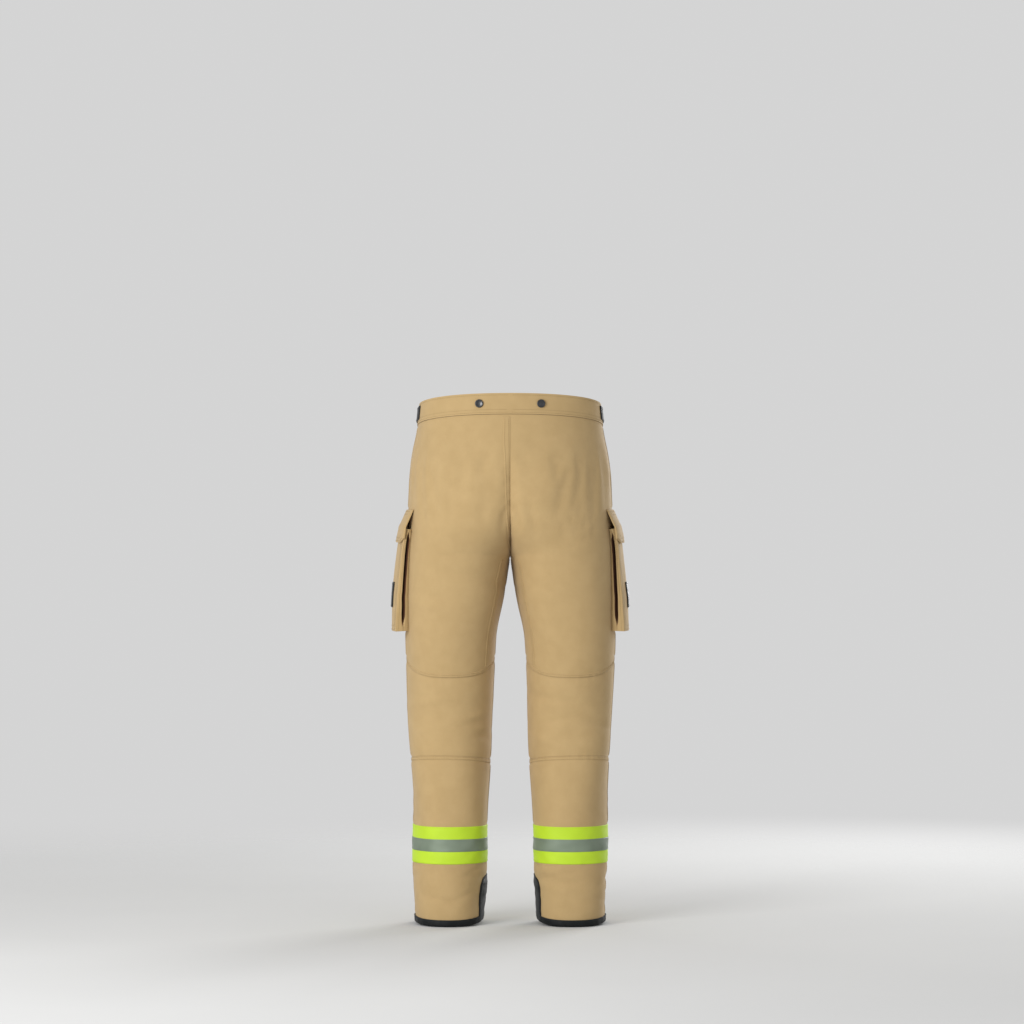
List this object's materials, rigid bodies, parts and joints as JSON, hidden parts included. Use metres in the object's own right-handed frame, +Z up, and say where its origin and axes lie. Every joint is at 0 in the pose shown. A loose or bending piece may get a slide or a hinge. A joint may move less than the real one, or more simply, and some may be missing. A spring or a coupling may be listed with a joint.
{
  "type": "bunker pants",
  "caption": "Firefighter's bunker pants with bellows cargo pockets, padded knees, reflective shin trim and an opening fly; hips, knees and flaps move.",
  "frame": {"origin": "middle of the waist opening, level with the waistband's top edge at its sides", "axes": "+Z up, the wearer faces -Y, the wearer's left leg is on the +X side"},
  "size_m": [0.478, 0.2819, 1.0707],
  "materials": {
    "shell_cloth": "tan aramid shell cloth, plain weave, matt",
    "liner": "quilted thermal liner, dark, matt",
    "black_coated_cloth": "black polymer coated aramid, low sheen like leather",
    "knee_foam": "closed cell foam",
    "fluorescent_trim": "fluorescent lime trim cloth",
    "silver_trim": "silver glass bead retroreflective cloth",
    "black_webbing": "black woven webbing",
    "zip_cloth": "zip tape and moulded chain, black",
    "brass_metal": "dull plated brass",
    "button_resin": "black moulded resin"
  },
  "bodies": {
    "seat": {"waistband": "shell_cloth", "seat_liner": "liner", "fly_zip": "zip_cloth", "fly_facing": "shell_cloth", "left_front_seat_panel": "shell_cloth", "left_back_seat_panel": "shell_cloth", "left_hip_shell": "shell_cloth", "left_hip_liner": "liner", "left_front_brace_button": "button_resin", "left_back_brace_button": "button_resin", "right_front_seat_panel": "shell_cloth", "right_back_seat_panel": "shell_cloth", "right_hip_shell": "shell_cloth", "right_hip_liner": "liner", "right_front_brace_button": "button_resin", "right_back_brace_button": "button_resin"},
    "left_thigh": {"left_front_thigh_panel": "shell_cloth", "left_back_thigh_panel": "shell_cloth", "left_thigh_liner": "liner", "left_pocket_gusset": "shell_cloth", "left_pocket_face": "shell_cloth", "left_pocket_tab": "black_coated_cloth", "left_front_knee_panel": "shell_cloth", "left_back_knee_panel": "shell_cloth", "left_knee_liner": "liner", "left_knee_foam": "knee_foam", "left_knee_patch": "black_coated_cloth"},
    "left_shin": {"left_shin_panel": "shell_cloth", "left_calf_panel": "shell_cloth", "left_shin_liner": "liner", "left_trim_base": "fluorescent_trim", "left_trim_silver": "silver_trim", "left_hem_binding": "black_coated_cloth", "left_ankle_guard": "black_coated_cloth"},
    "left_flap": {"left_pocket_flap": "shell_cloth"},
    "left_waist_adjuster": {"left_waist_tab": "black_webbing"},
    "right_thigh": {"right_front_thigh_panel": "shell_cloth", "right_back_thigh_panel": "shell_cloth", "right_thigh_liner": "liner", "right_pocket_gusset": "shell_cloth", "right_pocket_face": "shell_cloth", "right_pocket_tab": "black_coated_cloth", "right_front_knee_panel": "shell_cloth", "right_back_knee_panel": "shell_cloth", "right_knee_liner": "liner", "right_knee_foam": "knee_foam", "right_knee_patch": "black_coated_cloth"},
    "right_shin": {"right_shin_panel": "shell_cloth", "right_calf_panel": "shell_cloth", "right_shin_liner": "liner", "right_trim_base": "fluorescent_trim", "right_trim_silver": "silver_trim", "right_hem_binding": "black_coated_cloth", "right_ankle_guard": "black_coated_cloth"},
    "right_flap": {"right_pocket_flap": "shell_cloth"},
    "right_waist_adjuster": {"right_waist_tab": "black_webbing"},
    "placket": {"fly_placket": "shell_cloth"},
    "closure": {"waist_closure_tab": "shell_cloth", "press_stud_cap": "brass_metal"},
    "slider": {"zip_slider": "brass_metal"}
  },
  "joints": [
    {"name": "left_hip", "type": "hinge", "parent": "seat", "child": "left_thigh", "pos_m": [0.105, 0, -0.225], "axis": [-1, 0, 0], "range_deg": [-15, 75], "deforming": ["left_hip_shell", "left_hip_liner"]},
    {"name": "left_knee", "type": "hinge", "parent": "left_thigh", "child": "left_shin", "pos_m": [0.122, 0, -0.627], "axis": [1, 0, 0], "range_deg": [0, 80], "deforming": ["left_front_knee_panel", "left_back_knee_panel", "left_knee_liner", "left_knee_foam", "left_knee_patch"]},
    {"name": "left_pocket_flap_lift", "type": "hinge", "parent": "left_thigh", "child": "left_flap", "pos_m": [0.2078, -0.014, -0.212], "axis": [-0.2113, -0.9774, 0], "range_deg": [0, 105]},
    {"name": "left_waist_tab_peel", "type": "hinge", "parent": "seat", "child": "left_waist_adjuster", "pos_m": [0.1795, 0.0318, -0.0145], "axis": [0, 0, 1], "range_deg": [0, 80]},
    {"name": "right_hip", "type": "hinge", "parent": "seat", "child": "right_thigh", "pos_m": [-0.105, 0, -0.225], "axis": [-1, 0, 0], "range_deg": [-15, 75], "deforming": ["right_hip_shell", "right_hip_liner"]},
    {"name": "right_knee", "type": "hinge", "parent": "right_thigh", "child": "right_shin", "pos_m": [-0.122, 0, -0.627], "axis": [1, 0, 0], "range_deg": [0, 80], "deforming": ["right_front_knee_panel", "right_back_knee_panel", "right_knee_liner", "right_knee_foam", "right_knee_patch"]},
    {"name": "right_pocket_flap_lift", "type": "hinge", "parent": "right_thigh", "child": "right_flap", "pos_m": [-0.2078, -0.014, -0.212], "axis": [-0.2113, 0.9774, 0], "range_deg": [0, 105]},
    {"name": "right_waist_tab_peel", "type": "hinge", "parent": "seat", "child": "right_waist_adjuster", "pos_m": [-0.1795, 0.0318, -0.0145], "axis": [0, 0, -1], "range_deg": [0, 80]},
    {"name": "fly_open", "type": "hinge", "parent": "seat", "child": "placket", "pos_m": [0.034, -0.1289, -0.13], "axis": [0, 0, 1], "range_deg": [0, 140]},
    {"name": "waist_closure_open", "type": "hinge", "parent": "seat", "child": "closure", "pos_m": [0.034, -0.1289, -0.04], "axis": [0, 0, 1], "range_deg": [0, 140]},
    {"name": "zip_run", "type": "slide", "parent": "seat", "child": "slider", "axis": [0, 0, -1], "range_m": [0, 0.105]}
  ]
}
